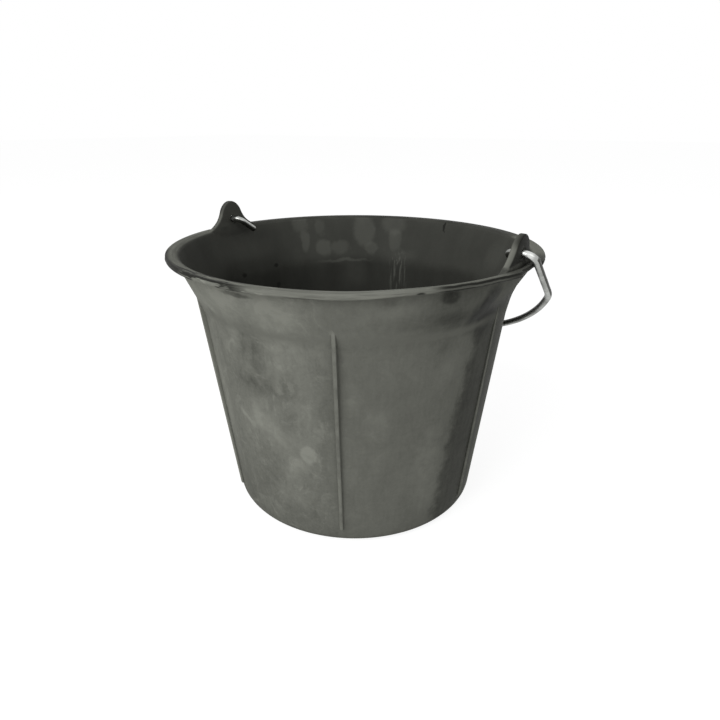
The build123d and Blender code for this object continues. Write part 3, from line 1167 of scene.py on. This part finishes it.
class WireFinish(Finish):
    """Dull galvanised wire, drawn along its length and tarnished in places, with painted dark reflections
    along one side and a painted highlight where it turns outside an ear.
    """

    # Where the painted dark reflections set in
    DARK_REFLECTION_EDGE = (0.3, 0.75)

    def build(self, look):
        depth = self.product(self.attribute("along"), 15)
        drawn = self.noise_at(self.stretched((60, 60, 60)), 1.0, 5.0, depth=depth)["Fac"]
        spangle = self.grain(320, 3.0, 0.55)
        old = self.calc("ADD", self.ramp(drawn, 0.4, 0.68, 0.0, 0.55),
                        self.ramp(spangle, 0.45, 0.75, 0.0, 0.35), clamp=True)
        # Painted dark reflections, darker and less metallic, along one side of the wire
        ragged = self.total(self.attribute("dark_reflection_side"), self.uneven(0.25, 260, 3.0))
        zinc = self.mix(old, look.zinc, look.tarnish)
        # Painted highlight on the bend outside each ear, over zinc rubbed bright there
        zinc = self.mix(self.product(self.attribute("rubbed"), 0.8), zinc, look.polish_and_highlight)
        zinc = self.mix(self.ramp(ragged, *self.DARK_REFLECTION_EDGE), zinc, look.dark_reflection)
        bsdf = self.add("ShaderNodeBsdfPrincipled")
        self.feed(bsdf.inputs["Base Color"], zinc)
        self.feed(bsdf.inputs["Roughness"], self.ramp(old, 0.0, 1.0, look.roughness, look.roughness + 0.18))
        self.feed(bsdf.inputs["Metallic"], self.ramp(ragged, *self.DARK_REFLECTION_EDGE, 1.0, 0.4))
        bsdf.inputs["Specular IOR Level"].default_value = 0.2
        bsdf.inputs["Specular Tint"].default_value = (0.65, 0.65, 0.65, 1)
        self.feed(bsdf.inputs["Normal"], self.bump(self.grain(500, 3.0), 0.0001, 0.4))
        return self.shade(bsdf.outputs[0])


class FloorFinish(Finish):
    """A pale floor that the camera sees as white, with the bucket's soft shadow on it."""

    SHADOWED = (0.28, 0.28, 0.28, 1)
    WHITENESS = 0.86

    def build(self, look):
        plain = self.add("ShaderNodeBsdfDiffuse")
        plain.inputs["Color"].default_value = (*look.floor, 1)
        shadowed = self.add("ShaderNodeBsdfDiffuse")
        shadowed.inputs["Color"].default_value = self.SHADOWED
        white = self.add("ShaderNodeEmission")
        white.inputs["Strength"].default_value = self.WHITENESS
        bright = self.add("ShaderNodeAddShader")
        self.feed(bright.inputs[0], shadowed.outputs[0])
        self.feed(bright.inputs[1], white.outputs[0])
        chosen = self.add("ShaderNodeMixShader")
        self.feed(chosen.inputs[0], self.seen())
        self.feed(chosen.inputs[1], plain.outputs[0])
        self.feed(chosen.inputs[2], bright.outputs[0])
        return self.shade(chosen.outputs[0])


class StudioWorld(NodeWork):
    """Soft light from all round, that the camera sees as white."""

    def __init__(self, name):
        super().__init__(bpy.data.worlds.new(name), "ShaderNodeOutputWorld")

    def build(self, look):
        background = self.add("ShaderNodeBackground")
        background.inputs["Color"].default_value = (1, 1, 1, 1)
        self.feed(background.inputs["Strength"], self.ramp(self.seen(), 0.0, 1.0, look.ambient, 1.0))
        return self.shade(background.outputs[0])


def dress(piece, material, body, node):
    """Gives a piece its finish, sets it on its body and lets it stand for its CAD node."""
    piece.data.materials.clear()
    piece.data.materials.append(material)
    piece.data.shade_smooth()
    piece.data.set_sharp_from_angle(angle=SHARP_EDGE)
    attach(piece, body)
    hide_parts(node)


class BUCKET_OT_rubber_body(bpy.types.Operator):
    """Make the moulded rubber body with its ribs, rim and ears"""

    bl_idname = "bucket.rubber_body"
    bl_label = "Rubber body"

    def execute(self, context):
        sizes = context.scene.bucket_sizes
        bm = body_section(sizes)
        divide_runs(bm, BODY_LONGEST)
        turned(bm, BODY_STEPS)
        body = thing("rubber_body", bm)
        parts = [ribs(sizes), ears(sizes)]
        for part in parts:
            combine(body, "UNION", part)
        applied(body, parts)
        bm = bmesh.new()
        bm.from_mesh(body.data)
        mark_surface(bm, sizes)
        tear_flash(bm, sizes)
        dent_rim(bm, sizes)
        pull_flare(bm, sizes)
        roll_rim(bm, sizes)
        bm.to_mesh(body.data)
        bm.free()
        finish = RubberFinish(context.scene.rubber_look, sizes).build()
        dress(body, finish, "bucket", "bucket_body")
        return {"FINISHED"}


class BUCKET_OT_wire_bail(bpy.types.Operator):
    """Make the bent wire bail, hanging in the ears"""

    bl_idname = "bucket.wire_bail"
    bl_label = "Wire bail"

    def execute(self, context):
        bail = wire(context.scene.bucket_sizes, context.scene.bail_sizes)
        finish = WireFinish("galvanised_wire").build(context.scene.wire_look)
        dress(bail, finish, "bail", "bail_handle")
        return {"FINISHED"}


class BUCKET_OT_studio(bpy.types.Operator):
    """Make the floor, the soft light and the camera"""

    bl_idname = "bucket.studio"
    bl_label = "Studio"

    FLOOR_REACH = 12
    FLOOR_GAP = 0.0002
    LAMP_AIM = Vector((0, 0, 0.14))
    SENSOR_WIDTH = 36
    CLIP_START = 0.01

    def execute(self, context):
        look = context.scene.stage_look
        bm = bmesh.new()
        bmesh.ops.create_grid(bm, x_segments=1, y_segments=1, size=self.FLOOR_REACH)
        bmesh.ops.translate(bm, verts=bm.verts[:], vec=(0, 0, -self.FLOOR_GAP))
        floor = thing("floor", bm)
        floor.data.materials.append(FloorFinish("pale_floor").build(look))
        self.make_camera(context, look)
        context.scene.world = StudioWorld("studio").build(look)
        self.make_lamp(look.azimuth - radians(44), distance=1.9, height=1.5, size=1.9, power=look.key)
        self.make_lamp(look.azimuth + radians(30), distance=2.1, height=1.3, size=1.6, power=look.fill)
        context.scene.view_settings.view_transform = "Standard"
        return {"FINISHED"}

    def make_camera(self, context, look):
        camera = bpy.data.objects.new("camera", bpy.data.cameras.new("camera"))
        context.scene.collection.objects.link(camera)
        camera.location = self.stand(look.azimuth, look.distance, look.height)
        camera.rotation_euler = (pi / 2 - look.pitch, 0, look.azimuth)
        camera.data.lens = look.lens
        camera.data.sensor_width = self.SENSOR_WIDTH
        camera.data.shift_x = look.shift
        camera.data.clip_start = self.CLIP_START
        context.scene.camera = camera

    def stand(self, azimuth, distance, height):
        """A place round the bucket. Azimuth 0 looks along +Y."""
        return Vector((sin(azimuth) * distance, -cos(azimuth) * distance, height))

    def make_lamp(self, azimuth, distance, height, size, power):
        lamp = bpy.data.objects.new("soft_lamp", bpy.data.lights.new("soft_lamp", "AREA"))
        bpy.context.scene.collection.objects.link(lamp)
        lamp.data.shape = "DISK"
        lamp.data.size = size
        lamp.data.energy = power
        lamp.location = self.stand(azimuth, distance, height)
        aim = self.LAMP_AIM - lamp.location
        lamp.rotation_euler = aim.to_track_quat("-Z", "Y").to_euler()


class BUCKET_PT_sidebar(bpy.types.Panel):
    """Sizes, looks and the buttons that build the bucket"""

    bl_label = "Rubber bucket"
    bl_idname = "BUCKET_PT_sidebar"
    bl_space_type = "VIEW_3D"
    bl_region_type = "UI"
    bl_category = "Bucket"

    def draw(self, context):
        for operator in OPERATORS:
            self.layout.operator(operator.bl_idname)
        for name, group in GROUPS.items():
            box = self.layout.box()
            box.label(text=name.replace("_", " ").capitalize())
            for prop in group.__annotations__:
                box.prop(getattr(context.scene, name), prop)


GROUPS = {
    "bucket_sizes": BucketSizes,
    "bail_sizes": BailSizes,
    "rubber_look": RubberLook,
    "wire_look": WireLook,
    "stage_look": StageLook,
}
OPERATORS = (BUCKET_OT_rubber_body, BUCKET_OT_wire_bail, BUCKET_OT_studio)
CLASSES = (*GROUPS.values(), *OPERATORS, BUCKET_PT_sidebar)


def register():
    for each in CLASSES:
        bpy.utils.register_class(each)
    for name, group in GROUPS.items():
        setattr(bpy.types.Scene, name, PointerProperty(type=group))


def unregister():
    for name in GROUPS:
        delattr(bpy.types.Scene, name)
    for each in reversed(CLASSES):
        bpy.utils.unregister_class(each)


def main():
    register()
    bpy.ops.bucket.rubber_body()
    bpy.ops.bucket.wire_bail()
    bpy.ops.bucket.studio()


if __name__ == "__main__":
    main()
